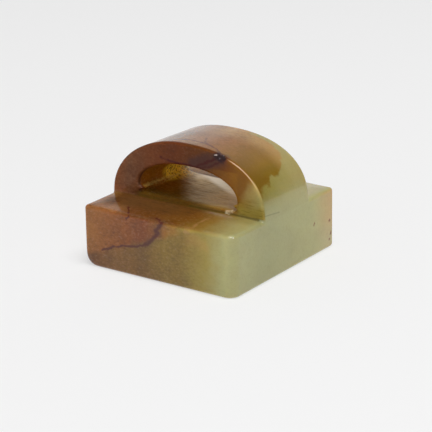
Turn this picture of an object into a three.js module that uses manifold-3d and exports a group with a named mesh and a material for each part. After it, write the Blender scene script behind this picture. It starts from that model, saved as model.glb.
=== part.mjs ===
// A jade seal stamp: a square block with an arched "tile" knob on its back, carved as one stone.
// Millimetres, +Z up. The origin is the middle of the underside. X runs along the arch's span,
// Y runs through the cord tunnel, from the face that is seen in front to the one behind.
import * as THREE from 'three';
import { mergeVertices } from 'three/addons/utils/BufferGeometryUtils.js';
import Module from 'manifold-3d';

// The block
const baseSide = 23.0;
const baseHeight = 8.12;
const cornerRadius = 0.45;
// The upright edge at the right front is worn rounder than the other three
const wornCornerRadius = 1.5;
const topEdgeRadius = 0.3;
const bottomEdgeRadius = 0.5;
// How far the polished top swells from its edges to the knob's feet
const topSwell = 0.18;

// The knob, whose feet are flush with the block's left and right sides. The strips are the bare
// parts of the block's top in front of it and behind it, measured at its left and right feet.
const knobRise = 8.22;
const knobFallToBack = 0.43;
const apexShift = -0.5;
const leftShoulderFullness = 2.1;
const rightShoulderFullness = 2.37;
const frontStripLeft = 6.1;
const frontStripRight = 6.85;
const backStripLeft = 5.7;
const backStripRight = 5.97;
const knobEdgeRadius = 0.28;

// The cord tunnel under the knob, drilled from both ends and opened out to a flattened oval
const crownThickness = 2.75;
const legThickness = 3.9;
const sillHeight = 0.4;
const tunnelBellyHeight = 1.8;
const tunnelWaist = 0.6;
const mouthLip = 0.15;
const tunnelRoofFullness = 2.1;
const tunnelFloorFullness = 2.6;

// The hollow left in the knob's front rim by a dark inclusion that fell out
const pitRadius = 0.62;
const pitFromApex = 5.9;

// The cutting on the underside: rows of short strokes inside a plain border
const strokeDepth = 0.45;
const strokeWidth = 0.75;
const strokeFloorWidth = 0.35;
const strokePitch = 1.9;
const strokeBorder = 1.7;
const strokeRows = 4;
const strokeRowGap = 1.1;
const shortestStrokeShare = 0.5;

// How finely the round stretches are divided
const cornerSteps = 7;
const edgeSteps = 3;
const swellSteps = 3;
const archSteps = 72;
const tunnelSteps = 56;
const tunnelStations = 8;
const overrun = 1.0;

const wasm = await Module();
wasm.setup();

const half = baseSide / 2;
const footDepth = Math.min(2.5, baseHeight / 2);

// A closed skin over a stack of loops that all have the same number of points. The loops turn
// anticlockwise when they are seen from the end that the stack grows towards.
function loft(loops) {
  const count = loops[0].length;
  const points = loops.flat();
  const triangles = [];
  for (let k = 0; k + 1 < loops.length; k += 1) {
    for (let i = 0; i < count; i += 1) {
      const j = (i + 1) % count;
      const a = k * count + i;
      const b = k * count + j;
      triangles.push(a, b, b + count, a, b + count, a + count);
    }
  }
  for (const end of [0, loops.length - 1]) {
    const middle = loops[end].reduce((sum, p) => sum.add(p), new THREE.Vector3());
    points.push(middle.divideScalar(count));
    for (let i = 0; i < count; i += 1) {
      const j = (i + 1) % count;
      const fan = [end * count + i, end * count + j, points.length - 1];
      triangles.push(...(end === 0 ? fan.reverse() : fan));
    }
  }
  const geometry = new THREE.BufferGeometry().setFromPoints(points);
  geometry.setIndex(triangles);
  return geometry;
}

function toSolid(geometry) {
  const bare = geometry.clone();
  bare.deleteAttribute('normal');
  bare.deleteAttribute('uv');
  const merged = mergeVertices(bare, 1e-5);
  return new wasm.Manifold(new wasm.Mesh({
    numProp: 3,
    vertProperties: new Float32Array(merged.attributes.position.array),
    triVerts: new Uint32Array(merged.index.array),
  }));
}

function toGeometry(solid) {
  const mesh = solid.getMesh();
  const geometry = new THREE.BufferGeometry();
  geometry.setAttribute('position', new THREE.BufferAttribute(mesh.vertProperties, 3));
  geometry.setIndex(new THREE.BufferAttribute(mesh.triVerts, 1));
  geometry.computeVertexNormals();
  return geometry;
}

// The block's outline at one height: a square with round corners, drawn in by inset.
function squareLoop(z, inset) {
  const loop = [];
  for (const [sx, sy, start] of [[1, 1, 0], [-1, 1, 90], [-1, -1, 180], [1, -1, 270]]) {
    const wholeRadius = sx > 0 && sy < 0 ? wornCornerRadius : cornerRadius;
    const radius = Math.max(wholeRadius - inset, wholeRadius / 4);
    const reach = half - inset - radius;
    for (let i = 0; i <= cornerSteps; i += 1) {
      const angle = THREE.MathUtils.degToRad(start + (90 * i) / cornerSteps);
      const x = sx * reach + radius * Math.cos(angle);
      const y = sy * reach + radius * Math.sin(angle);
      loop.push(new THREE.Vector3(x, y, z));
    }
  }
  return loop;
}

function makeBlock() {
  const loops = [];
  for (let i = 0; i <= edgeSteps; i += 1) {
    const turn = (Math.PI / 2) * (i / edgeSteps);
    const rise = bottomEdgeRadius * (1 - Math.cos(turn));
    loops.push(squareLoop(rise, bottomEdgeRadius * (1 - Math.sin(turn))));
  }
  for (let i = 0; i <= edgeSteps; i += 1) {
    const turn = (Math.PI / 2) * (i / edgeSteps);
    const z = baseHeight - topEdgeRadius * (1 - Math.sin(turn));
    loops.push(squareLoop(z, topEdgeRadius * (1 - Math.cos(turn))));
  }
  const swellReach = Math.min(frontStripLeft, backStripLeft) - topEdgeRadius;
  for (let i = 1; i <= swellSteps; i += 1) {
    const inward = i / swellSteps;
    const z = baseHeight + topSwell * (1 - (1 - inward) ** 2);
    loops.push(squareLoop(z, topEdgeRadius + swellReach * inward));
  }
  return toSolid(loft(loops));
}

// Depth through the knob: through is 0 on its front face and 1 on its back face. The faces are
// not quite parallel to the block, so the place depends on how far right x is.
function depthAt(x, through) {
  const right = x / baseSide + 0.5;
  const front = -half + THREE.MathUtils.lerp(frontStripLeft, frontStripRight, right);
  const back = half - THREE.MathUtils.lerp(backStripLeft, backStripRight, right);
  return THREE.MathUtils.lerp(front, back, through);
}

function meanKnobDepth() {
  return depthAt(0, 1) - depthAt(0, 0);
}

function riseAt(through) {
  return knobRise - knobFallToBack * THREE.MathUtils.clamp(through, 0, 1);
}

// One point of a rounded bow: a superellipse quarter, fuller than an ellipse above 2.
function bow(turn, halfWidth, height, fullness) {
  const c = Math.cos(turn);
  const s = Math.sin(turn);
  const x = Math.sign(c) * halfWidth * Math.abs(c) ** (2 / fullness);
  const z = Math.sign(s) * height * Math.abs(s) ** (2 / fullness);
  return new THREE.Vector2(x, z);
}

// A flat loop drawn in (or, below zero, out) along its own normals.
function drawnIn(outline, inset) {
  return outline.map((point, i) => {
    const before = outline[(i + outline.length - 1) % outline.length];
    const after = outline[(i + 1) % outline.length];
    const along = after.clone().sub(before).normalize();
    return new THREE.Vector2(point.x - along.y * inset, point.y + along.x * inset);
  });
}

// The arch from its right foot over the apex to its left foot, above the block's top.
function archOutline(through) {
  const outline = [];
  for (let i = 0; i <= archSteps; i += 1) {
    const turn = Math.PI * (i / archSteps);
    const onRight = i * 2 < archSteps;
    const halfWidth = onRight ? half - apexShift : half + apexShift;
    const fullness = onRight ? rightShoulderFullness : leftShoulderFullness;
    const point = bow(turn, halfWidth, riseAt(through), fullness);
    outline.push(point.add(new THREE.Vector2(apexShift, 0)));
  }
  return outline;
}

function knobLoop(through, inset) {
  const arch = archOutline(through);
  const feet = [new THREE.Vector2(-half, -footDepth), new THREE.Vector2(half, -footDepth)];
  const outline = drawnIn([...arch, ...feet], inset);
  return outline.map((p) => new THREE.Vector3(p.x, depthAt(p.x, through), baseHeight + p.y));
}

// The knob's loops run from back to front, so that they turn anticlockwise when seen from the front.
function makeKnob() {
  const loops = [];
  const edge = knobEdgeRadius / meanKnobDepth();
  for (let i = 0; i <= edgeSteps; i += 1) {
    const turn = (Math.PI / 2) * (i / edgeSteps);
    loops.push(knobLoop(1 - edge * (1 - Math.cos(turn)), knobEdgeRadius * (1 - Math.sin(turn))));
  }
  for (let i = 0; i <= edgeSteps; i += 1) {
    const turn = (Math.PI / 2) * (i / edgeSteps);
    loops.push(knobLoop(edge * (1 - Math.sin(turn)), knobEdgeRadius * (1 - Math.cos(turn))));
  }
  return toSolid(loft(loops));
}

// The tunnel's section: an arched roof, level from front to back, and a flatter floor on the sill.
function tunnelLoop(through, lip) {
  const inside = THREE.MathUtils.clamp(through, 0, 1);
  const waist = tunnelWaist * Math.sin(Math.PI * inside) ** 2;
  const halfWidth = half - legThickness - waist;
  const roof = knobRise - crownThickness;
  const belly = Math.min(tunnelBellyHeight, (roof + sillHeight) / 2);
  const outline = [];
  for (let i = 0; i < tunnelSteps; i += 1) {
    const turn = 2 * Math.PI * (i / tunnelSteps);
    const above = i * 2 <= tunnelSteps;
    const height = above ? roof - belly : belly - sillHeight;
    const fullness = above ? tunnelRoofFullness : tunnelFloorFullness;
    outline.push(bow(turn, halfWidth, height, fullness).add(new THREE.Vector2(0, belly)));
  }
  return drawnIn(outline, mouthLip - lip).map(
    (p) => new THREE.Vector3(p.x, depthAt(p.x, through), baseHeight + p.y),
  );
}

function makeTunnel() {
  const depth = meanKnobDepth();
  const lipShare = mouthLip / depth;
  const loops = [tunnelLoop(1 + overrun / depth, mouthLip), tunnelLoop(1, mouthLip)];
  for (let k = tunnelStations; k >= 0; k -= 1) {
    loops.push(tunnelLoop(THREE.MathUtils.lerp(lipShare, 1 - lipShare, k / tunnelStations), 0));
  }
  loops.push(tunnelLoop(0, mouthLip), tunnelLoop(-overrun / depth, mouthLip));
  return toSolid(loft(loops));
}

function makeRimPit() {
  const rim = archOutline(0).reduce((nearest, point) => {
    const gap = Math.abs(point.x - apexShift - pitFromApex);
    return gap < Math.abs(nearest.x - apexShift - pitFromApex) ? point : nearest;
  });
  const ball = new THREE.IcosahedronGeometry(pitRadius, 2);
  ball.scale(1, 0.7, 0.6);
  ball.translate(rim.x, depthAt(rim.x, 0), baseHeight + rim.y);
  return toSolid(ball);
}

// One stroke: a groove with sloping walls and ends, cut up into the underside.
function strokeCutter(x, y, length) {
  const slope = (strokeWidth - strokeFloorWidth) / 2 / strokeDepth;
  const loops = [-overrun / 2, strokeDepth].map((z) => {
    const spread = slope * (strokeDepth - z);
    const dx = strokeFloorWidth / 2 + spread;
    const dy = (length - strokeWidth + strokeFloorWidth) / 2 + spread;
    const corners = [[1, -1], [1, 1], [-1, 1], [-1, -1]];
    return corners.map(([sx, sy]) => new THREE.Vector3(x + sx * dx, y + sy * dy, z));
  });
  return toSolid(loft(loops));
}

// Rows of upright strokes of changing length. They stand for a cutting and spell nothing.
function cutStrokes(stone) {
  const field = baseSide - 2 * strokeBorder;
  const rowHeight = (field - strokeRowGap * (strokeRows - 1)) / strokeRows;
  const columns = Math.max(1, Math.floor((field - strokeWidth) / strokePitch) + 1);
  let cut = stone;
  for (let row = 0; row < strokeRows; row += 1) {
    const y = (row - (strokeRows - 1) / 2) * (rowHeight + strokeRowGap);
    for (let column = 0; column < columns; column += 1) {
      const x = (column - (columns - 1) / 2) * strokePitch;
      const sway = Math.abs(Math.sin(1.9 * column + 2.3 * row + 0.6));
      const length = rowHeight * THREE.MathUtils.lerp(shortestStrokeShare, 1, sway);
      const top = (row + column) % 2 === 0 ? 1 : -1;
      cut = cut.subtract(strokeCutter(x, y + (top * (rowHeight - length)) / 2, length));
    }
  }
  return cut;
}

const jade = new THREE.MeshStandardMaterial({ color: 0x9a8a5c, roughness: 0.3, metalness: 0 });

const carved = makeBlock().add(makeKnob()).subtract(makeTunnel()).subtract(makeRimPit());
const seal = new THREE.Mesh(toGeometry(cutStrokes(carved)), jade);
seal.name = 'seal';

const stamp = new THREE.Group();
stamp.add(seal);

export default stamp;
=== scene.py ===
import math

import bpy
from mathutils import Matrix, Vector


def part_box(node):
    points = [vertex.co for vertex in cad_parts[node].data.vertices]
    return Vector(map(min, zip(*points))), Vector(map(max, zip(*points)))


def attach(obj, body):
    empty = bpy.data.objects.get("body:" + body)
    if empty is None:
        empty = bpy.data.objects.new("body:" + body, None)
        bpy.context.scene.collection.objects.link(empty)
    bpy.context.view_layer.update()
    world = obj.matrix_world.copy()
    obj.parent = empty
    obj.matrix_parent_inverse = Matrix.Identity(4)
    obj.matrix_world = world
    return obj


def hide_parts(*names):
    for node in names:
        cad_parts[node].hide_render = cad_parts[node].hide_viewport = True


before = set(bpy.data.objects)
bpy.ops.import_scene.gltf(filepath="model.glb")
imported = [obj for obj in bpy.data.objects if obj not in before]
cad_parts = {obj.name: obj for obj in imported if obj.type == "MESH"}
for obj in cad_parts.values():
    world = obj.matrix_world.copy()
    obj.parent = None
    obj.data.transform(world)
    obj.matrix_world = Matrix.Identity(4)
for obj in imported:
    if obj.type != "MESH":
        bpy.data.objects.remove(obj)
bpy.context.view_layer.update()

# The carved stone.
# One pebble of nephrite, sawn square and ground with grit into a block with an arched tile knob,
# bored for a cord, cut with rows of strokes below, then polished. Its russet skin is on the left.
MM = 0.001
seal_low, seal_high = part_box("seal")
block_height = 8.12 * MM
crown_lost_to_waviness = 0.01 * MM
stone_sizes = {
    "Side": seal_high.x - seal_low.x,
    "Block height": block_height,
    "Corner radius": 0.45 * MM,
    "Worn corner radius": 1.5 * MM,
    "Bottom edge": 0.5 * MM,
    "Top edge": 0.45 * MM,
    "Worn vertex": 1.2 * MM,
    "Top swell": 0.18 * MM,
    "Knob rise": seal_high.z - block_height + crown_lost_to_waviness,
    "Knob fall to back": 0.43 * MM,
    "Apex shift": -0.5 * MM,
    "Left fullness": 2.1,
    "Right fullness": 2.37,
    "Front strip left": 6.1 * MM,
    "Front strip right": 6.85 * MM,
    "Back strip left": 5.7 * MM,
    "Back strip right": 5.97 * MM,
    "Knob edge": 0.28 * MM,
    "Foot fillet": 0.12 * MM,
    "Left foot fillet": 0.55 * MM,
    "Crown": 2.75 * MM,
    "Leg": 3.9 * MM,
    "Sill": 0.4 * MM,
    "Belly": 1.8 * MM,
    "Waist": 0.6 * MM,
    "Channel": 1.0 * MM,
    "Mouth lip": 0.2 * MM,
    "Worn sill": 0.3 * MM,
    "Pit": 0.62 * MM,
    "Chip": 0.75 * MM,
    "Stroke depth": 0.45 * MM,
    "Stroke width": 0.75 * MM,
    "Stroke floor": 0.35 * MM,
    "Stroke pitch": 1.9 * MM,
    "Stroke border": 1.7 * MM,
    "Stroke rows": 4.0,
    "Row gap": 1.1 * MM,
    "Hand waviness": 0.05 * MM,
    "Grinding marks": 0.03 * MM,
}


class Field:
    """A number that changes from place to place: one socket of a node tree. Each sum on it adds a
    Math node to that tree, so the stone's form and its markings can both be written as sums."""

    def __init__(self, tree, socket):
        self.tree = tree
        self.socket = socket

    def math(self, operation, *others):
        node = self.tree.nodes.new("ShaderNodeMath")
        node.operation = operation
        for place, value in zip(node.inputs, (self, *others)):
            feed(self.tree, value, place)
        return Field(self.tree, node.outputs[0])

    def __add__(self, other):
        return self.math("ADD", other)

    def __sub__(self, other):
        return self.math("SUBTRACT", other)

    def __mul__(self, other):
        return self.math("MULTIPLY", other)

    def __truediv__(self, other):
        return self.math("DIVIDE", other)

    def __pow__(self, other):
        return self.math("POWER", other)

    def __neg__(self):
        return self * -1.0

    def __abs__(self):
        return self.math("ABSOLUTE")

    def least(self, other):
        return self.math("MINIMUM", other)

    def most(self, other):
        return self.math("MAXIMUM", other)

    def over(self, limit):
        return self.math("GREATER_THAN", limit)

    def clamped(self):
        return self.most(0.0).least(1.0)

    def rise(self, low, high):
        """0 below low, 1 above high, and an easy slope between them."""
        node = self.tree.nodes.new("ShaderNodeMapRange")
        node.interpolation_type = "SMOOTHSTEP"
        node.clamp = False
        feed(self.tree, self, node.inputs["Value"])
        feed(self.tree, low, node.inputs["From Min"])
        feed(self.tree, high, node.inputs["From Max"])
        return Field(self.tree, node.outputs["Result"])


def feed(tree, value, place):
    if isinstance(value, Field):
        tree.links.new(value.socket, place)
    elif isinstance(value, bpy.types.NodeSocket):
        tree.links.new(value, place)
    else:
        place.default_value = value


def length(*sides):
    total = sides[0] * sides[0]
    for side in sides[1:]:
        total = total + side * side
    return total.math("SQRT")


def split(tree, vector):
    node = tree.nodes.new("ShaderNodeSeparateXYZ")
    tree.links.new(vector, node.inputs[0])
    return [Field(tree, socket) for socket in node.outputs]


def joined(tree, x, y, z):
    node = tree.nodes.new("ShaderNodeCombineXYZ")
    for place, value in zip(node.inputs, (x, y, z)):
        feed(tree, value, place)
    return node.outputs[0]


def vector_math(tree, operation, *values):
    node = tree.nodes.new("ShaderNodeVectorMath")
    node.operation = operation
    for place, value in zip(node.inputs, values):
        feed(tree, value, place)
    return node.outputs["Value"] if operation in ("DOT_PRODUCT", "LENGTH") else node.outputs[0]


def grain(tree, vector, size, detail=2.0, roughness=0.5, colour=False):
    """Cloudy noise from 0 to 1, with clouds of the size given."""
    node = tree.nodes.new("ShaderNodeTexNoise")
    tree.links.new(vector, node.inputs["Vector"])
    node.inputs["Scale"].default_value = 1.0 / size
    node.inputs["Detail"].default_value = detail
    node.inputs["Roughness"].default_value = roughness
    return node.outputs["Color"] if colour else Field(tree, node.outputs[0])


def stretched(tree, vector, x, y, z):
    return vector_math(tree, "MULTIPLY", vector, (x, y, z))


def new_group(name, kind, inputs, outputs):
    tree = bpy.data.node_groups.new(name, kind)
    for label, socket, value in inputs:
        item = tree.interface.new_socket(label, in_out="INPUT", socket_type=socket)
        if value is not None:
            item.default_value = value
    for label, socket in outputs:
        tree.interface.new_socket(label, in_out="OUTPUT", socket_type=socket)
    return tree, tree.nodes.new("NodeGroupInput"), tree.nodes.new("NodeGroupOutput")


def rounded_meeting(a, b, radius):
    """Where two faces meet in an outer edge with a round on it."""
    a = a + radius
    b = b + radius
    return length(a.most(0.0), b.most(0.0)) + a.most(b).least(0.0) - radius


def bow_distance(across, up, half_width, height, fullness):
    """Distance from a rounded bow, (x/w)^n + (z/h)^n = 1, to first order. Neither share is quite
    zero, nor the reach near it, so that the powers and the slope stay finite."""
    least_share = 1e-4
    least_reach = 0.05
    a = abs(across) / half_width + least_share
    b = abs(up) / height + least_share
    reach = (a**fullness + b**fullness) ** (fullness ** -1.0)
    reach = reach.most(least_reach)
    less = fullness - 1.0
    slope = length(a**less / half_width, b**less / height) / reach**less
    return (reach - 1.0) / slope


def shape_block(size, x, y, z):
    half = size["Side"] * 0.5
    top = size["Block height"]
    worn = x.over(0.0) * (-y).over(0.0)
    corner = worn * (size["Worn corner radius"] - size["Corner radius"]) + size["Corner radius"]
    qx = abs(x) - half + corner
    qy = abs(y) - half + corner
    plan = length(qx.most(0.0), qy.most(0.0)) + qx.most(qy).least(0.0) - corner
    inward = (plan / size["Back strip left"] + 1.0).clamped()
    swell = size["Top swell"] * (inward * -inward + 1.0)
    middle = top * 0.5
    level = abs(z * top / (top + swell) - middle) - middle
    edge = (z / top).clamped() * (size["Top edge"] - size["Bottom edge"]) + size["Bottom edge"]
    vertex = (half * 2.0 - size["Worn vertex"] + x + y + z) * (-1.0 / math.sqrt(3.0))
    block = rounded_meeting(plan, level, edge)
    vertex_round = 0.8 * MM
    return plan, block.math("SMOOTH_MAX", vertex, vertex_round)


def knob_faces(size, x):
    """Where the knob's front and back faces stand, which aren't quite parallel to the block."""
    half = size["Side"] * 0.5
    right = x / size["Side"] + 0.5
    front = right * (size["Front strip right"] - size["Front strip left"])
    back = right * (size["Back strip left"] - size["Back strip right"])
    return front + size["Front strip left"] - half, back - size["Back strip left"] + half


def shape_knob(size, x, y, z, front, back, through):
    on_right = (x - size["Apex shift"]).over(0.0)
    half_width = size["Side"] * 0.5 + size["Apex shift"] - on_right * size["Apex shift"] * 2.0
    fullness = on_right * (size["Right fullness"] - size["Left fullness"]) + size["Left fullness"]
    rise = size["Knob rise"] - size["Knob fall to back"] * through
    above = (z - size["Block height"]).most(0.0)
    arch = bow_distance(x - size["Apex shift"], above, half_width, rise, fullness)
    knob = rounded_meeting(arch, (front - y).most(y - back), size["Knob edge"])
    return knob.most(size["Block height"] * 0.5 - z)


def shape_tunnel(size, x, z, through):
    """Two grindings: an oval bore, and a flatter channel along its floor. They meet in a ridge."""
    bore_fullness = 2.1
    channel_fullness = 3.2
    turn = (through * math.pi).math("SINE")
    half_width = size["Side"] * 0.5 - size["Leg"] - size["Waist"] * turn * turn
    belly = z - size["Block height"] - size["Belly"]
    in_roof = belly.over(0.0)
    roof = size["Knob rise"] - size["Crown"] - size["Belly"]
    floor = size["Belly"] - size["Sill"]
    bore_reach = in_roof * (roof - floor) + floor
    bore = bow_distance(x, belly, half_width, bore_reach, bore_fullness)
    half_channel = size["Channel"] * 0.5
    low = z - size["Block height"] - size["Sill"] - half_channel
    channel_half_width = half_width - size["Mouth lip"]
    channel = bow_distance(x, low, channel_half_width, half_channel, channel_fullness)
    return bore.least(channel) + size["Mouth lip"] * 0.5


def hollow(size, x, y, z, centre, radii):
    """A small hollow with the proportions of radii, measured about its centre in millimetres."""
    sides = [(a - c * MM) / r for a, c, r in zip((x, y, z), centre, radii)]
    return (length(*sides) / size - 1.0) * size * min(radii)


def cut_strokes(tree, solid, size, x, y, z):
    """Rows of upright strokes of changing length. They stand for a cutting and spell nothing."""
    field = size["Side"] - size["Stroke border"] * 2.0
    columns = ((field - size["Stroke width"]) / size["Stroke pitch"]).math("FLOOR") + 1.0
    rows = size["Stroke rows"]
    row_height = (field - size["Row gap"] * (rows - 1.0)) / rows
    row_pitch = row_height + size["Row gap"]
    middle_column = (columns - 1.0) * 0.5
    middle_row = (rows - 1.0) * 0.5
    column = (x / size["Stroke pitch"] + middle_column + 0.5).math("FLOOR")
    column = column.most(0.0).least(columns - 1.0)
    row = (y / row_pitch + middle_row + 0.5).math("FLOOR").most(0.0).least(rows - 1.0)
    sway = abs((column * 1.9 + row * 2.3 + 0.6).math("SINE"))
    long = row_height * (sway * 0.5 + 0.5)
    even = ((row + column) * 0.5).math("FRACT").over(0.25) * -2.0 + 1.0
    dx = abs(x - (column - middle_column) * size["Stroke pitch"])
    dy = y - (row - middle_row) * row_pitch - even * (row_height - long) * 0.5
    spread = (size["Stroke width"] - size["Stroke floor"]) * 0.5 / size["Stroke depth"]
    drawn = (size["Stroke depth"] - z) * spread
    side = dx - size["Stroke floor"] * 0.5 - drawn
    end = abs(dy) - (long - size["Stroke width"] + size["Stroke floor"]) * 0.5 - drawn
    groove = side.most(end).most(z - size["Stroke depth"])
    stroke_lip = 0.1 * MM
    return solid.math("SMOOTH_MAX", -groove, stroke_lip)


def build_stone_distance():
    """How far a point is outside the stone, below zero inside it."""
    inputs = [("Position", "NodeSocketVector", None)]
    inputs += [(label, "NodeSocketFloat", value) for label, value in stone_sizes.items()]
    outputs = [("Distance", "NodeSocketFloat")]
    tree, given, out = new_group("Stone distance", "GeometryNodeTree", inputs, outputs)
    size = {label: Field(tree, given.outputs[label]) for label in stone_sizes}
    position = given.outputs["Position"]
    x, y, z = split(tree, position)

    plan, block = shape_block(size, x, y, z)
    front, back = knob_faces(size, x)
    through = ((y - front) / (back - front)).clamped()
    knob = shape_knob(size, x, y, z, front, back, through)
    on_left = x.rise(-8.0 * MM, -10.5 * MM)
    fillet = size["Foot fillet"] + on_left * (size["Left foot fillet"] - size["Foot fillet"])
    solid = block.math("SMOOTH_MIN", knob, fillet).most(plan)

    wave = grain(tree, position, 5.5 * MM, detail=1.0) - 0.5
    above_underside = z.rise(0.3 * MM, 1.5 * MM)
    solid = solid + wave * size["Hand waviness"] * above_underside

    along = grain(tree, stretched(tree, position, 1.0, 0.12, 1.0), 0.8 * MM, detail=2.0) - 0.5
    tunnel = shape_tunnel(size, x, z, through) + along * size["Grinding marks"]
    at_sill = z.rise(9.3 * MM, 8.8 * MM)
    lip = size["Mouth lip"] + size["Worn sill"] * at_sill
    solid = rounded_meeting(solid, -tunnel, lip)

    broken = (grain(tree, position, 0.35 * MM, detail=2.0) - 0.5) * (0.35 * MM)
    pit = hollow(size["Pit"], x, y, z, (5.4, -4.85, 15.45), (1.0, 0.7, 0.6))
    chip = hollow(size["Chip"], x, y, z, (6.75, -5.45, 8.75), (1.1, 0.7, 0.55))
    solid = solid.most(-pit - broken).most(-chip)

    tree.links.new(cut_strokes(tree, solid, size, x, y, z).socket, out.inputs[0])
    return tree


def build_stone_skin(stone_distance):
    """The stone's skin: a mesh round the zero of the distance, then settled exactly onto it."""
    inputs = [("Geometry", "NodeSocketGeometry", None)]
    inputs += [("Spacing", "NodeSocketFloat", 0.17 * MM), ("Material", "NodeSocketMaterial", None)]
    inputs += [(label, "NodeSocketFloat", value) for label, value in stone_sizes.items()]
    outputs = [("Geometry", "NodeSocketGeometry")]
    tree, given, out = new_group("Stone skin", "GeometryNodeTree", inputs, outputs)
    nodes = tree.nodes

    def distance_at(vector):
        node = nodes.new("GeometryNodeGroup")
        node.node_tree = stone_distance
        tree.links.new(vector, node.inputs["Position"])
        for label in stone_sizes:
            tree.links.new(given.outputs[label], node.inputs[label])
        return Field(tree, node.outputs[0])

    here = nodes.new("GeometryNodeInputPosition").outputs[0]
    volume = nodes.new("GeometryNodeVolumeCube")
    tree.links.new((-distance_at(here)).socket, volume.inputs["Density"])
    volume.inputs["Background"].default_value = -1.0
    margin = Vector((0.5 * MM,) * 3)
    low = Vector(seal_low) - margin
    high = Vector(seal_high) + margin
    volume.inputs["Min"].default_value = low
    volume.inputs["Max"].default_value = high
    for axis, label in enumerate(("Resolution X", "Resolution Y", "Resolution Z")):
        steps = Field(tree, given.outputs["Spacing"]) ** -1.0 * (high[axis] - low[axis])
        tree.links.new(steps.socket, volume.inputs[label])
    skin = nodes.new("GeometryNodeVolumeToMesh")
    skin.inputs["Threshold"].default_value = 0.0
    tree.links.new(volume.outputs[0], skin.inputs[0])
    geometry = skin.outputs[0]

    step = 0.02 * MM
    least_steep = 0.2
    settlings = 2
    for _ in range(settlings):
        gap = distance_at(here)
        rates = []
        for axis in range(3):
            nudge = [step if k == axis else 0.0 for k in range(3)]
            rates.append((distance_at(vector_math(tree, "ADD", here, nudge)) - gap) / step)
        steep = rates[0] * rates[0] + rates[1] * rates[1] + rates[2] * rates[2]
        back = -gap / steep.most(least_steep)
        settle = nodes.new("GeometryNodeSetPosition")
        tree.links.new(geometry, settle.inputs["Geometry"])
        tree.links.new(joined(tree, *[rate * back for rate in rates]), settle.inputs["Offset"])
        geometry = settle.outputs[0]

    smooth = nodes.new("GeometryNodeSetShadeSmooth")
    tree.links.new(geometry, smooth.inputs[0])
    real = nodes.new("GeometryNodeRealizeInstances")
    tree.links.new(smooth.outputs[0], real.inputs[0])
    paint = nodes.new("GeometryNodeSetMaterial")
    tree.links.new(real.outputs[0], paint.inputs["Geometry"])
    tree.links.new(given.outputs["Material"], paint.inputs["Material"])
    tree.links.new(paint.outputs[0], out.inputs[0])
    return tree


def build_stretch():
    """A short straight mark in the stone: 1 on the line from start to end, 0 past its width. Where
    the two are one point, it is a round spot."""
    inputs = [("Place", "NodeSocketVector", None), ("Start", "NodeSocketVector", None)]
    inputs += [("End", "NodeSocketVector", None), ("Width", "NodeSocketFloat", 0.2)]
    inputs += [("Core", "NodeSocketFloat", 0.1)]
    outputs = [("Mask", "NodeSocketFloat")]
    tree, given, out = new_group("Stretch", "ShaderNodeTree", inputs, outputs)
    start = given.outputs["Start"]
    run = vector_math(tree, "SUBTRACT", given.outputs["End"], start)
    here = vector_math(tree, "SUBTRACT", given.outputs["Place"], start)
    share = Field(tree, vector_math(tree, "DOT_PRODUCT", here, run))
    least_run = 1e-6
    share = share / Field(tree, vector_math(tree, "DOT_PRODUCT", run, run)).most(least_run)
    reach = joined(tree, *[share.clamped()] * 3)
    off = vector_math(tree, "SUBTRACT", here, vector_math(tree, "MULTIPLY", run, reach))
    gap = Field(tree, vector_math(tree, "LENGTH", off))
    mask = gap.rise(Field(tree, given.outputs["Core"]), Field(tree, given.outputs["Width"]))
    tree.links.new((mask * -1.0 + 1.0).socket, out.inputs[0])
    return tree


stretch = build_stretch()


def mark(tree, place, points, width, core=0.0):
    """A mark along a line of points, in millimetres, or one round spot."""
    whole = None
    ends = points[1:] or points
    for start, end in zip(points, ends):
        node = tree.nodes.new("ShaderNodeGroup")
        node.node_tree = stretch
        tree.links.new(place, node.inputs["Place"])
        node.inputs["Start"].default_value = start
        node.inputs["End"].default_value = end
        node.inputs["Width"].default_value = width
        node.inputs["Core"].default_value = core
        part = Field(tree, node.outputs[0])
        whole = part if whole is None else whole.most(part)
    return whole


def blend(share, below, above):
    """One colour over another, by share."""
    node = share.tree.nodes.new("ShaderNodeMix")
    node.data_type = "RGBA"
    feed(share.tree, share, node.inputs["Factor"])
    for label, colour in (("A", below), ("B", above)):
        place = [s for s in node.inputs if s.name == label and s.type == "RGBA"][0]
        shade = colour if isinstance(colour, bpy.types.NodeSocket) else (*colour, 1.0)
        feed(share.tree, shade, place)
    return [s for s in node.outputs if s.type == "RGBA"][0]


def shades(field, stops):
    """Colours that pass into one another at the stated values of a field."""
    tree = field.tree
    low = stops[0][0]
    span = stops[-1][0] - low
    node = tree.nodes.new("ShaderNodeValToRGB")
    feed(tree, (field - low) / span, node.inputs[0])
    elements = node.color_ramp.elements
    while len(elements) < len(stops):
        elements.new(0.5)
    for element, (value, colour) in zip(elements, stops):
        element.position = (value - low) / span
        element.color = (*colour, 1.0)
    return node.outputs[0]


def drifted(tree, axes, place, size, amount, detail):
    """A place moved about by noise, so that what is drawn there gets a natural edge: its three
    axes, and the same as one vector."""
    noise = tree.nodes.new("ShaderNodeSeparateColor")
    tree.links.new(grain(tree, place, size, detail=detail, colour=True), noise.inputs[0])
    shifts = [(Field(tree, shade) - 0.5) * (2.0 * amount) for shade in noise.outputs]
    moved = [axis + shift for axis, shift in zip(axes, shifts)]
    return moved, joined(tree, *moved)


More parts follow.
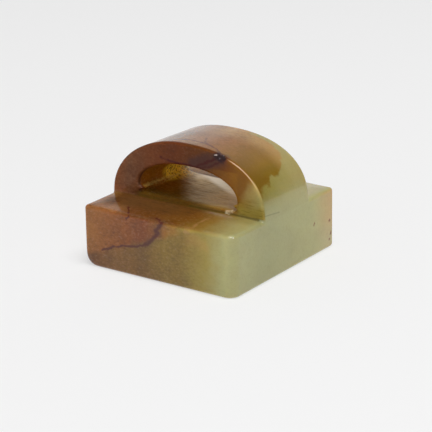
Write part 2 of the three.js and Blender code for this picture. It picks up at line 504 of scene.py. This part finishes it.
class StoneZones:
    """Where a point of the stone is, in millimetres from the middle of the underside, and the
    zones that more than one marking needs, as masks: 1 inside and 0 outside."""

    def __init__(self, tree):
        self.tree = tree
        coordinates = tree.nodes.new("ShaderNodeTexCoord").outputs["Object"]
        place = stretched(tree, coordinates, 1 / MM, 1 / MM, 1 / MM)
        axes = split(tree, place)
        x, y, z = axes
        (cx, cy, _), self.cloudy = drifted(tree, axes, place, 4.5, 2.2, 3.0)
        (rx, ry, rz), self.ragged = drifted(tree, axes, place, 1.6, 0.75, 4.0)
        self.crumbled = drifted(tree, axes, place, 0.45, 0.35, 3.0)[1]
        self.wandering = drifted(tree, axes, place, 0.7, 0.28, 3.0)[1]
        self.place = place
        self.straight_axes = axes
        self.cloudy_axes = cx, cy
        self.ragged_axes = rx, ry, rz

        self.grit = grain(tree, stretched(tree, place, 0.16, 1.0, 1.0), 0.28, 3.0, 0.6)
        self.fine = grain(tree, stretched(tree, place, 0.6, 1.0, 1.0), 0.26, 3.0, 0.65)

        self.right_side = x.rise(10.2, 11.2)
        self.knob_face = y.rise(-4.35, -4.55) * y.rise(-5.75, -5.6) * z.rise(8.25, 8.5)
        # Painted shade and painted reflection: the top strip darkens toward the knob's foot,
        # standing for the knob's shade and its dark face mirrored there.
        shade = (y - x * 0.1).rise(-9.9, -7.6) * rx.rise(5.0, 1.0) * rx.rise(-11.0, -9.2) * 0.95
        self.strip_shade = shade
        self.shaded_strip = shade * z.rise(7.9, 8.1) * z.rise(8.7, 8.5)

        tunnel = y.rise(-5.0, -4.4) * y.rise(5.6, 5.0) * abs(x).rise(7.9, 7.3)
        self.tunnel = tunnel * z.rise(8.3, 8.5) * z.rise(13.9, 13.6)
        sill = z.rise(9.1, 8.7) * abs(x + 0.3).rise(8.2, 6.8) * z.rise(7.8, 8.1)
        sill = sill * y.rise(-5.8, -5.3) * y.rise(-2.0, -4.2)
        self.sill = sill * (x.rise(5.0, 0.5) * 0.6 + 0.4)
        self.golden = mark(tree, self.ragged, [(-7.2, 1.0, 10.3), (-6.6, 5.5, 9.6)], 2.2, 0.6)
        self.pits = grain(tree, place, 0.32, 1.0).rise(0.52, 0.62) * self.golden * 0.7

        foot_line = [(0.5, -5.12, 8.28), (5.0, -4.98, 8.27), (10.6, -4.74, 8.17)]
        self.foot_line = mark(tree, place, foot_line, 0.32, 0.10)


def paint_block(zones):
    """The block's front, darker under the vein that crosses it, and the strips of its top, with
    painted shade in front of the knob's foot.
    """
    x, y, z = zones.straight_axes
    rx, ry, rz = zones.ragged_axes
    flow = zones.cloudy_axes[0] * 0.8 + rx * 1.2 - x
    above_vein = shades(flow, [
        (-12.0, (0.330, 0.125, 0.020)),
        (-7.0, (0.285, 0.085, 0.008)),
        (-2.0, (0.215, 0.052, 0.004)),
        (1.5, (0.330, 0.130, 0.012)),
        (4.0, (0.310, 0.190, 0.020)),
        (7.0, (0.550, 0.425, 0.075)),
        (10.5, (0.580, 0.560, 0.250)),
    ])
    under_vein = shades(flow, [
        (-12.0, (0.120, 0.028, 0.002)),
        (-7.0, (0.235, 0.102, 0.016)),
        (-2.0, (0.195, 0.096, 0.013)),
        (1.5, (0.255, 0.155, 0.020)),
        (4.0, (0.255, 0.158, 0.020)),
        (7.0, (0.354, 0.269, 0.051)),
        (10.5, (0.450, 0.430, 0.185)),
    ])
    over_line = rz - rx * 0.38 - 5.7 + (ry + 11.5) * 0.35
    front = blend(over_line.rise(-0.5, 0.5), under_vein, above_vein)

    strip = shades(flow, [
        (-12.0, (0.240, 0.088, 0.018)),
        (-7.5, (0.345, 0.138, 0.040)),
        (-4.5, (0.150, 0.045, 0.004)),
        (0.0, (0.165, 0.058, 0.005)),
        (3.0, (0.170, 0.065, 0.006)),
        (6.5, (0.285, 0.165, 0.030)),
        (9.5, (0.430, 0.390, 0.155)),
    ])
    # Painted shade: the strip is darkened close in front of the knob's face.
    knob_foot_shade = y.rise(-7.4, -5.8) * y.rise(-3.0, -4.5) * 0.3
    strip = blend(knob_foot_shade, strip, (0.150, 0.115, 0.010))
    # Painted shade and painted reflection of the knob's dark face, on the strip before its foot.
    strip = blend(zones.strip_shade, strip, (0.070, 0.028, 0.001))
    behind_knob = y.rise(5.0, 6.0)
    strip = blend(behind_knob * x.rise(4.0, 9.0), strip, (0.480, 0.430, 0.250))
    strip = blend(behind_knob * x.rise(0.0, -4.0), strip, (0.380, 0.230, 0.120))
    return blend(z.rise(7.8, 8.1), front, strip)


def paint_knob(zones, block):
    """The knob's crown: russet as far as a ragged golden edge, then celadon down to the right."""
    x, y, z = zones.straight_axes
    cx, cy = zones.cloudy_axes
    rx, ry, _ = zones.ragged_axes
    crown = shades(cx * 0.7 + x * 0.3, [
        (-12.0, (0.210, 0.066, 0.017)),
        (-6.0, (0.230, 0.100, 0.040)),
        (-1.0, (0.258, 0.111, 0.038)),
        (3.0, (0.290, 0.112, 0.020)),
        (6.0, (0.250, 0.115, 0.011)),
        (8.3, (0.250, 0.130, 0.006)),
        (9.4, (0.225, 0.127, 0.008)),
    ])
    celadon = shades(cy, [
        (-5.0, (0.240, 0.182, 0.030)),
        (-1.0, (0.290, 0.245, 0.060)),
        (3.0, (0.385, 0.315, 0.115)),
    ])
    crown = blend(y.rise(0.5, 4.0) * x.rise(-3.0, 1.0) * 0.6, crown, (0.550, 0.330, 0.120))
    crown = blend(y.rise(-0.5, -4.0) * x.rise(5.5, 7.5) * 0.4, crown, (0.130, 0.055, 0.004))
    cloud = mark(zones.tree, zones.cloudy, [(-4.4, -0.6, 15.8)], 3.2, 0.6)
    crown = blend(cloud * 0.5, crown, (0.080, 0.040, 0.020))

    reach = (-ry - 1.0).most(0.0) * 0.25 + 5.15
    past = ((rx - 5.0).most(0.0) / reach)**2.2 + ((ry + 1.0).most(0.0) / 5.7)**2.2
    clear = past.rise(0.92, 1.06) * rx.rise(2.0, 4.5)
    return blend(z.rise(7.9, 8.9), block, blend(clear, crown, celadon))


def paint_right_side(zones, colour):
    """The right side: celadon, with a rind of the pebble's pale skin along the back edge."""
    _, y, z = zones.straight_axes
    _, cy = zones.cloudy_axes
    celadon = shades(cy, [
        (-11.0, (0.395, 0.378, 0.170)),
        (-4.0, (0.335, 0.325, 0.145)),
        (1.0, (0.360, 0.345, 0.150)),
        (6.0, (0.410, 0.385, 0.165)),
    ])
    colour = blend(zones.right_side * z.rise(12.0, 8.5) * 0.9, colour, celadon)
    rind = zones.right_side * (cy * 0.3 + y * 0.7).rise(5.8, 11.3) * z.rise(8.15, 7.8)
    rind = rind * (z.rise(-1.0, 6.0) * 0.4 + 0.5)
    crust = blend(z.rise(1.0, 5.0), (0.580, 0.450, 0.240), (0.560, 0.350, 0.140))
    return blend(rind * 0.9, colour, crust)


def paint_knob_face(zones, colour):
    """The knob's front face: reddish brown, olive at the right foot, with a dark line along the left
    rim, painted shade on the lower right rim and a painted highlight along the upper right rim.
    """
    x, y, z = zones.straight_axes
    rx, _, rz = zones.ragged_axes
    leaned = rx - (rz - 11.0).most(0.0) * rx.rise(7.5, 9.0) * 0.55
    face = shades(leaned, [
        (-11.5, (0.350, 0.105, 0.026)),
        (-9.0, (0.220, 0.088, 0.036)),
        (-6.0, (0.200, 0.058, 0.015)),
        (-2.5, (0.145, 0.034, 0.007)),
        (3.5, (0.130, 0.041, 0.006)),
        (6.3, (0.205, 0.066, 0.006)),
        (8.0, (0.250, 0.105, 0.010)),
        (9.6, (0.440, 0.320, 0.100)),
        (11.0, (0.420, 0.370, 0.130)),
    ])
    face = blend(rz.rise(10.4, 9.0) * rx.rise(6.5, 8.0), face, (0.390, 0.290, 0.055))
    colour = blend(zones.knob_face, colour, face)

    sizes_in_mm = {label: size / MM for label, size in stone_sizes.items()}
    behind_face = y - knob_faces(sizes_in_mm, x)[0]
    # A dark line along the left of the knob's rim, just behind its front face.
    left_rim_line = behind_face.rise(-0.05, 0.10) * behind_face.rise(0.6, 0.3)
    left_rim_line = left_rim_line * x.rise(-3.5, -6.5) * z.rise(8.1, 8.8)
    colour = blend(left_rim_line * 0.55, colour, (0.050, 0.018, 0.010))
    # Painted shade: the lower right rim, which turns toward the front soft box, is dulled to a dark
    # olive so it does not light up.
    olive = behind_face.rise(-0.04, 0.04) * behind_face.rise(0.35, 0.20)
    olive = olive * z.rise(12.5, 10.5) * z.rise(7.9, 8.8) * x.rise(8.0, 9.5)
    colour = blend(olive * 0.5, colour, (0.230, 0.180, 0.040))
    # Painted highlight: a pale line along the upper right rim, where the rim catches the light.
    rim_highlight = behind_face.rise(0.02, 0.07) * behind_face.rise(0.17, 0.10)
    rim_highlight = rim_highlight * x.rise(5.8, 7.0) * z.rise(11.5, 13.5)
    return blend(rim_highlight * 0.6, colour, (0.850, 0.640, 0.400))


def paint_tunnel(zones, colour):
    """The cord tunnel: brown, with a pitted golden patch on its left wall over a ridge with a
    painted highlight, and a painted shadow on its sill.
    """
    tree = zones.tree
    x = zones.straight_axes[0]
    bored = shades((zones.cloudy_axes[0] + x) * 0.5, [
        (-8.0, (0.290, 0.085, 0.004)),
        (-4.0, (0.270, 0.105, 0.006)),
        (-0.5, (0.200, 0.095, 0.006)),
        (2.5, (0.460, 0.240, 0.030)),
        (8.0, (0.400, 0.190, 0.020)),
    ])
    bored = blend(zones.golden * 0.9, bored, (0.720, 0.400, 0.030))
    bored = blend(zones.pits, bored, (0.030, 0.015, 0.002))
    dot = mark(tree, zones.place, [(-7.1, 4.6, 9.4)], 0.40, 0.20)
    bored = blend(dot, bored, (0.020, 0.010, 0.003))
    colour = blend(zones.tunnel, colour, bored)
    # Painted highlight: a pale line along the ridge where the bore and the channel meet.
    ridge_line = [(-7.1, -4.4, 9.4), (-6.7, -0.5, 9.4), (-6.35, 2.6, 9.25)]
    ridge = mark(tree, zones.crumbled, ridge_line, 0.42, 0.06)
    colour = blend(ridge * zones.tunnel * 0.8, colour, (0.620, 0.400, 0.100))
    # Painted shadow: the tunnel's sill is darkened, less toward the right.
    sill_shadow = shades(x, [(0.0, (0.110, 0.052, 0.005)), (5.0, (0.170, 0.112, 0.030))])
    return blend(zones.sill, colour, sill_shadow)


def tunnel_glow(zones):
    """The light that comes through the stone and from behind it, as a faint glow in the tunnel."""
    x, y, z = zones.straight_axes
    glow = shades(y, [
        (-4.0, (0.130, 0.100, 0.066)),
        (0.0, (0.155, 0.114, 0.068)),
        (3.3, (0.265, 0.200, 0.118)),
        (5.5, (0.480, 0.400, 0.300)),
    ])
    glowing = (x * 0.82 + y * 0.57 + (zones.grit - 0.5) * 1.5).rise(-4.2, -0.9)
    glowing = glowing * y.rise(-4.9, -3.4) * (zones.grit.rise(0.3, 0.65) * 0.65 + 0.45)
    lit = blend((zones.golden - zones.pits) * 0.9, (0.005, 0.002, 0.0), (0.080, 0.042, 0.002))
    lit = blend(glowing * z.rise(10.5, 9.5), lit, glow)
    slant = y + x * 0.58
    far = slant.rise(1.8, 2.9) * slant.rise(5.0, 3.4) * x.rise(-8.0, -6.0) * z.rise(10.0, 9.4)
    lit = blend(far * (x.rise(4.0, -3.0) * 0.6 + 0.3), lit, (0.480, 0.420, 0.330))
    return blend(zones.tunnel, (0.0, 0.0, 0.0), lit)


def mottle(zones, colour):
    """Dark clouds, streaks and specks, mostly in the russet, and fine pale flecks."""
    x, _, z = zones.straight_axes
    rx = zones.ragged_axes[0]
    russet = x.rise(9.0, 1.0) * 0.75 + 0.25
    clouds = grain(zones.tree, zones.place, 2.2, 4.0, 0.6)
    dark = (clouds.rise(0.35, 0.75) * 0.28 + zones.fine.rise(0.45, 0.75) * 0.36) * russet
    dark = dark + z.rise(5.5, 0.5) * (zones.right_side * -0.6 + 1.0) * 0.13
    dark = dark + zones.grit.rise(0.45, 0.75) * zones.shaded_strip * 0.4
    specks = grain(zones.tree, zones.place, 0.24, 1.0).rise(0.62, 0.72)
    dark = dark + specks * zones.knob_face * rx.rise(6.0, 2.0) * 0.35
    colour = blend(dark, colour, (0.05, 0.022, 0.008))
    pale = zones.fine.rise(0.5, 0.25) * russet * (zones.shaded_strip * -0.9 + 1.0)
    return blend(pale * (zones.knob_face * -0.5 + 1.0) * 0.12, colour, (0.60, 0.42, 0.30))


def draw_scratches(zones, colour):
    """Scratches across the knob's right foot, the scored line along it and one on the side."""
    rx, _, rz = zones.ragged_axes
    foot = zones.knob_face * rx.rise(6.0, 8.0) * rz.rise(11.5, 9.5)
    colour = blend(zones.grit.rise(0.45, 0.65) * foot * 0.35, colour, (0.090, 0.060, 0.006))
    side_line = [(11.5, -4.5, 8.83), (11.5, -2.9, 8.65), (11.5, -1.3, 8.45)]
    scratch = mark(zones.tree, zones.place, side_line, 0.14, 0.02)
    colour = blend(scratch * 0.35, colour, (0.110, 0.085, 0.030))
    return blend(zones.foot_line * 0.6, colour, (0.070, 0.045, 0.006))


front_vein = [
    (-8.8, -11.5, 2.5), (-7.1, -11.5, 3.3), (-5.2, -11.5, 3.8), (-3.0, -11.5, 4.2),
    (-1.85, -11.5, 4.6), (-0.9, -11.5, 5.3), (0.24, -11.5, 6.6), (-0.2, -11.5, 6.8),
    (0.58, -11.5, 7.6), (0.75, -11.4, 7.95), (-0.5, -10.7, 8.12),
]
left_edge_vein = [
    (-6.05, -9.35, 8.22), (-5.27, -10.15, 8.2), (-4.22, -11.5, 7.87), (-4.74, -11.5, 7.49),
]
left_tick = [(-9.0, -8.9, 8.2), (-8.3, -8.3, 8.25)]
face_vein = [
    (5.1, -4.9, 15.5), (2.87, -4.9, 14.37), (1.35, -4.9, 13.6), (0.15, -4.95, 13.66),
    (-2.43, -5.0, 13.76), (-3.96, -5.1, 14.04),
]
lower_face_vein = [(5.4, -4.9, 15.18), (4.05, -4.9, 14.18), (2.1, -4.9, 13.59)]
crown_vein = [
    (5.3, -4.6, 15.6), (3.6, -3.6, 15.95), (1.6, -3.0, 16.2), (-0.6, -2.9, 16.3), (-3.0, -3.6, 16.1),
]
crossing_vein = [(1.6, -3.0, 16.2), (0.0, -0.6, 16.3)]


def draw_veins(zones, colour):
    """Purplish brown veins, each with its width, its full-strength core and its strength."""
    veins = mark(zones.tree, zones.wandering, front_vein, 0.27, 0.05)
    for points, width, core, strength in (
        (front_vein[4:9], 0.42, 0.08, 1.0),
        (left_edge_vein, 0.20, 0.04, 1.0),
        (left_tick, 0.20, 0.04, 1.0),
        (face_vein, 0.30, 0.06, 1.0),
        (lower_face_vein, 0.24, 0.04, 0.8),
        (crown_vein, 0.30, 0.04, 0.85),
        (crossing_vein, 0.24, 0.02, 0.7),
    ):
        veins = veins.most(mark(zones.tree, zones.wandering, points, width, core) * strength)
    halo = mark(zones.tree, zones.ragged, front_vein[3:], 1.3) * 0.3
    between_face_veins = [(1.2, -4.9, 13.9), (5.3, -4.9, 15.2)]
    halo = halo.most(mark(zones.tree, zones.ragged, between_face_veins, 1.5, 0.4) * 0.75)
    colour = blend(halo, colour, (0.07, 0.028, 0.025))
    return blend(veins * 0.85, colour, (0.068, 0.010, 0.008))


def draw_nodule(zones, colour):
    """What is left of the dark nodule in the hollow of the front rim, with two painted glints on it.
    """
    nodule = mark(zones.tree, zones.crumbled, [(4.75, -4.9, 15.6), (5.3, -4.9, 15.4)], 0.80, 0.40)
    colour = blend(nodule, colour, (0.034, 0.016, 0.017))
    # Painted highlights: two glints on the nodule.
    bright_glint = mark(zones.tree, zones.crumbled, [(4.45, -4.85, 15.68)], 0.19, 0.06)
    dim_glint = mark(zones.tree, zones.crumbled, [(5.35, -4.6, 15.6)], 0.20, 0.08) * 0.6
    return blend(bright_glint.most(dim_glint), colour, (0.50, 0.42, 0.42))


def draw_small_marks(zones, colour):
    """A reddish band over the front edge with a stain below it, four dark specks on the right side,
    a painted glint at the front corner and a painted highlight on the chip at the tunnel's sill."""
    for place, points, width, core, strength, shade in (
        (zones.ragged, [(5.1, -7.6, 8.2), (4.9, -9.1, 8.2), (5.1, -10.8, 8.15), (4.6, -11.5, 7.4)],
         0.38, 0.06, 0.35, (0.500, 0.260, 0.110)),
        (zones.ragged, [(5.2, -11.5, 6.7), (7.2, -11.5, 6.3)], 1.3, 0.2, 0.2, (0.600, 0.280, 0.070)),
        (zones.crumbled, [(11.5, 10.5, 3.8)], 0.32, 0.10, 0.8, (0.180, 0.045, 0.025)),
        (zones.crumbled, [(11.5, 10.8, 2.0)], 0.32, 0.10, 0.8, (0.180, 0.045, 0.025)),
        (zones.crumbled, [(11.5, 10.5, 1.3)], 0.32, 0.10, 0.8, (0.180, 0.045, 0.025)),
        (zones.crumbled, [(11.5, 6.8, 4.4)], 0.32, 0.10, 0.8, (0.180, 0.045, 0.025)),
        # Painted glint at the block's front top corner.
        (zones.place, [(11.2, -10.9, 7.95)], 0.17, 0.05, 1.0, (0.8, 0.8, 0.7)),
        # Painted highlight on the chip at the tunnel's sill.
        (zones.crumbled, [(5.95, -4.9, 8.5), (6.6, -4.85, 8.75), (6.85, -4.5, 9.05)],
         0.46, 0.08, 0.75, (0.700, 0.560, 0.340)),
    ):
        colour = blend(mark(zones.tree, place, points, width, core) * strength, colour, shade)
    return colour


def make_jade():
    """Celadon nephrite that passes into a russet skin, with dark veins and a waxy hand polish."""
    material = bpy.data.materials.new("jade")
    material.use_nodes = True
    tree = material.node_tree
    zones = StoneZones(tree)
    colour = paint_knob(zones, paint_block(zones))
    for layer in (paint_right_side, paint_knob_face, paint_tunnel, mottle):
        colour = layer(zones, colour)
    for layer in (draw_scratches, draw_veins, draw_nodule, draw_small_marks):
        colour = layer(zones, colour)

    polish = (zones.tunnel * -0.85 + 0.95) * (zones.knob_face * -0.7 + 1.0)
    polish = polish * (zones.shaded_strip * -0.6 + 1.0) * (zones.sill * -0.6 + 1.0)
    polish = polish * (zones.foot_line * -0.8 + 1.0)
    rough = grain(tree, zones.place, 0.8, 3.0) * 0.2 + zones.tunnel * 0.2 + 0.3
    height = zones.grit * zones.tunnel * 0.060 + zones.fine * 0.0015
    height = height + grain(tree, zones.place, 1.1, 1.0) * 0.006
    bump = tree.nodes.new("ShaderNodeBump")
    bump.inputs["Distance"].default_value = MM
    tree.links.new(height.socket, bump.inputs["Height"])

    shader = tree.nodes["Principled BSDF"]
    tree.links.new(colour, shader.inputs["Base Color"])
    tree.links.new(rough.socket, shader.inputs["Roughness"])
    tree.links.new(bump.outputs[0], shader.inputs["Normal"])
    tree.links.new(polish.socket, shader.inputs["Coat Weight"])
    shader.inputs["Coat Roughness"].default_value = 0.11
    shader.inputs["Coat IOR"].default_value = 1.5
    shader.inputs["Specular IOR Level"].default_value = 0.0
    shader.inputs["Subsurface Weight"].default_value = 0.35
    shader.inputs["Subsurface Radius"].default_value = (1.0, 0.55, 0.25)
    shader.inputs["Subsurface Scale"].default_value = 1.4 * MM
    tree.links.new(tunnel_glow(zones), shader.inputs["Emission Color"])
    shader.inputs["Emission Strength"].default_value = 1.0
    return material


jade = make_jade()
stone = bpy.data.objects.new("jade_seal", bpy.data.meshes.new("stone_seed"))
bpy.context.collection.objects.link(stone)
skin_tree = build_stone_skin(build_stone_distance())
modifier = stone.modifiers.new("skin", "NODES")
modifier.node_group = skin_tree
for item in skin_tree.interface.items_tree:
    if item.in_out == "INPUT" and item.name == "Material":
        modifier[item.identifier] = jade
    if item.in_out == "INPUT" and item.name in stone_sizes:
        modifier[item.identifier] = stone_sizes[item.name]
evaluated = stone.evaluated_get(bpy.context.evaluated_depsgraph_get())
stone.data = bpy.data.meshes.new_from_object(evaluated)
stone.modifiers.remove(modifier)
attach(stone, "root")
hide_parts("seal")

# The floor.
# A plain pale sheet under the stone, lit so evenly that it runs out of the picture as one tone.
half_side = 1.5
corners = [
    (-half_side, -half_side, 0.0), (half_side, -half_side, 0.0),
    (half_side, half_side, 0.0), (-half_side, half_side, 0.0),
]
floor_mesh = bpy.data.meshes.new("floor")
floor_mesh.from_pydata(corners, [], [(0, 1, 2, 3)])
floor = bpy.data.objects.new("floor", floor_mesh)
bpy.context.collection.objects.link(floor)
paper = bpy.data.materials.new("paper")
paper.use_nodes = True
paper_shader = paper.node_tree.nodes["Principled BSDF"]
paper_shader.inputs["Base Color"].default_value = (0.35, 0.35, 0.35, 1.0)
paper_shader.inputs["Roughness"].default_value = 1.0
paper_shader.inputs["Specular IOR Level"].default_value = 0.0
paper_shader.inputs["Emission Color"].default_value = (1.0, 1.0, 1.0, 1.0)
paper_shader.inputs["Emission Strength"].default_value = 0.56
floor_mesh.materials.append(paper)

# The light.
# A pale backdrop that is brightest low down and goes dark to the right of the stone, with a soft
# box overhead and a weaker one at the right front. Plain colours, shown as they are.
world = bpy.data.worlds.new("world")
bpy.context.scene.world = world
world.use_nodes = True
sky = world.node_tree
direction = sky.nodes.new("ShaderNodeTexCoord").outputs["Generated"]
across, _, height = split(sky, direction)
backdrop = shades(height, [
    (-0.10, (0.85,) * 3),
    (0.00, (0.90,) * 3),
    (0.27, (0.72,) * 3),
    (0.34, (0.52,) * 3),
    (0.43, (0.52,) * 3),
    (0.56, (0.45,) * 3),
    (0.63, (0.32,) * 3),
    (0.85, (0.15,) * 3),
])
backdrop = blend(across.rise(-0.1, 0.42) * 0.85, backdrop, (0.0, 0.0, 0.0))
sky.links.new(backdrop, sky.nodes["Background"].inputs["Color"])
sky.nodes["Background"].inputs["Strength"].default_value = 1.0


def hang_light(name, toward, away, size, energy):
    """A square soft box at a distance from the stone, in metres, facing it."""
    toward = Vector(toward).normalized()
    data = bpy.data.lights.new(name, "AREA")
    data.shape = "SQUARE"
    data.size = size
    data.energy = energy
    light = bpy.data.objects.new(name, data)
    turn = toward.to_track_quat("Z", "Y").to_matrix().to_4x4()
    light.matrix_world = Matrix.Translation(toward * away) @ turn
    bpy.context.collection.objects.link(light)


hang_light("soft box overhead", (0.30, -0.15, 0.94), away=0.6, size=0.32, energy=2.8)
hang_light("soft box at the front", (0.70, -0.65, 0.35), away=0.7, size=0.30, energy=0.8)
bpy.context.scene.view_settings.view_transform = "Standard"

# The camera.
# A long lens at the right front, a little above the stone, at the place that fits the picture.
picture_side = 432.0
azimuth = math.radians(35.478)
elevation = math.radians(19.522)
roll = math.radians(-0.925)
distance = 241.573 * MM
aim_to_right = 0.7325 * MM
aim_height = 5.346 * MM
focal_pixels = 1876.5
back = Vector((
    math.sin(azimuth) * math.cos(elevation),
    -math.cos(azimuth) * math.cos(elevation),
    math.sin(elevation),
))
right = Vector((math.cos(azimuth), math.sin(azimuth), 0.0))
up = back.cross(right)
turned_right = right * math.cos(roll) + up * math.sin(roll)
turned_up = up * math.cos(roll) - right * math.sin(roll)
aim = right * aim_to_right + Vector((0.0, 0.0, aim_height))
camera_data = bpy.data.cameras.new("camera")
camera_data.sensor_width = 36.0
camera_data.lens = focal_pixels / picture_side * camera_data.sensor_width
camera_data.clip_start = 0.01
camera = bpy.data.objects.new("camera", camera_data)
camera.matrix_world = Matrix.Translation(aim + back * distance) @ Matrix(
    (turned_right, turned_up, back)
).transposed().to_4x4()
bpy.context.collection.objects.link(camera)
bpy.context.scene.camera = camera
